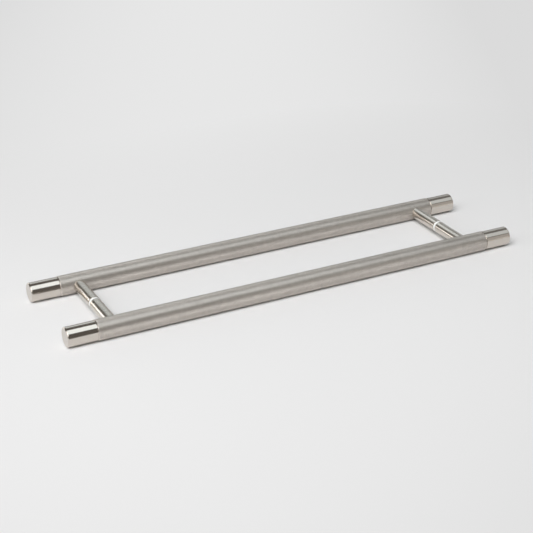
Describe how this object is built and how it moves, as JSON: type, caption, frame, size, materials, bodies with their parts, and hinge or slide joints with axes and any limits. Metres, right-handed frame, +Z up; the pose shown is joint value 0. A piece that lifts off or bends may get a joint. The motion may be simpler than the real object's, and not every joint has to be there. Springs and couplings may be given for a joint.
{
  "type": "entry door pull",
  "caption": "Back-to-back entry door pull: knurled round grips with smooth ends, joined by round posts with white washers where the door goes.",
  "frame": {"origin": "on the surface that the pull lies on, below its middle, in the door plane", "axes": "+X along the grips, +Y from the front grip to the rear grip, through the door, +Z up"},
  "size_m": [0.5, 0.1286, 0.0207],
  "materials": {
    "knurled_steel": "fine cross knurl, satin",
    "polished_steel": "fine turned and polished",
    "turned_steel": "fine turned, lightly brushed",
    "white_nylon": "natural white nylon",
    "fixing_steel": "plain"
  },
  "bodies": {
    "root": {"front_grip": "knurled_steel", "front_left_cap": "polished_steel", "front_left_post": "turned_steel", "front_left_post_stud": "fixing_steel", "front_left_washer": "white_nylon", "front_right_cap": "polished_steel", "front_right_post": "turned_steel", "front_right_post_stud": "fixing_steel", "front_right_washer": "white_nylon", "rear_grip": "knurled_steel", "rear_left_cap": "polished_steel", "rear_left_post": "turned_steel", "rear_left_post_stud": "fixing_steel", "rear_left_washer": "white_nylon", "rear_right_cap": "polished_steel", "rear_right_post": "turned_steel", "rear_right_post_stud": "fixing_steel", "rear_right_washer": "white_nylon", "left_tie_stud": "fixing_steel", "left_grub_screw": "fixing_steel", "right_tie_stud": "fixing_steel", "right_grub_screw": "fixing_steel"}
  },
  "joints": []
}
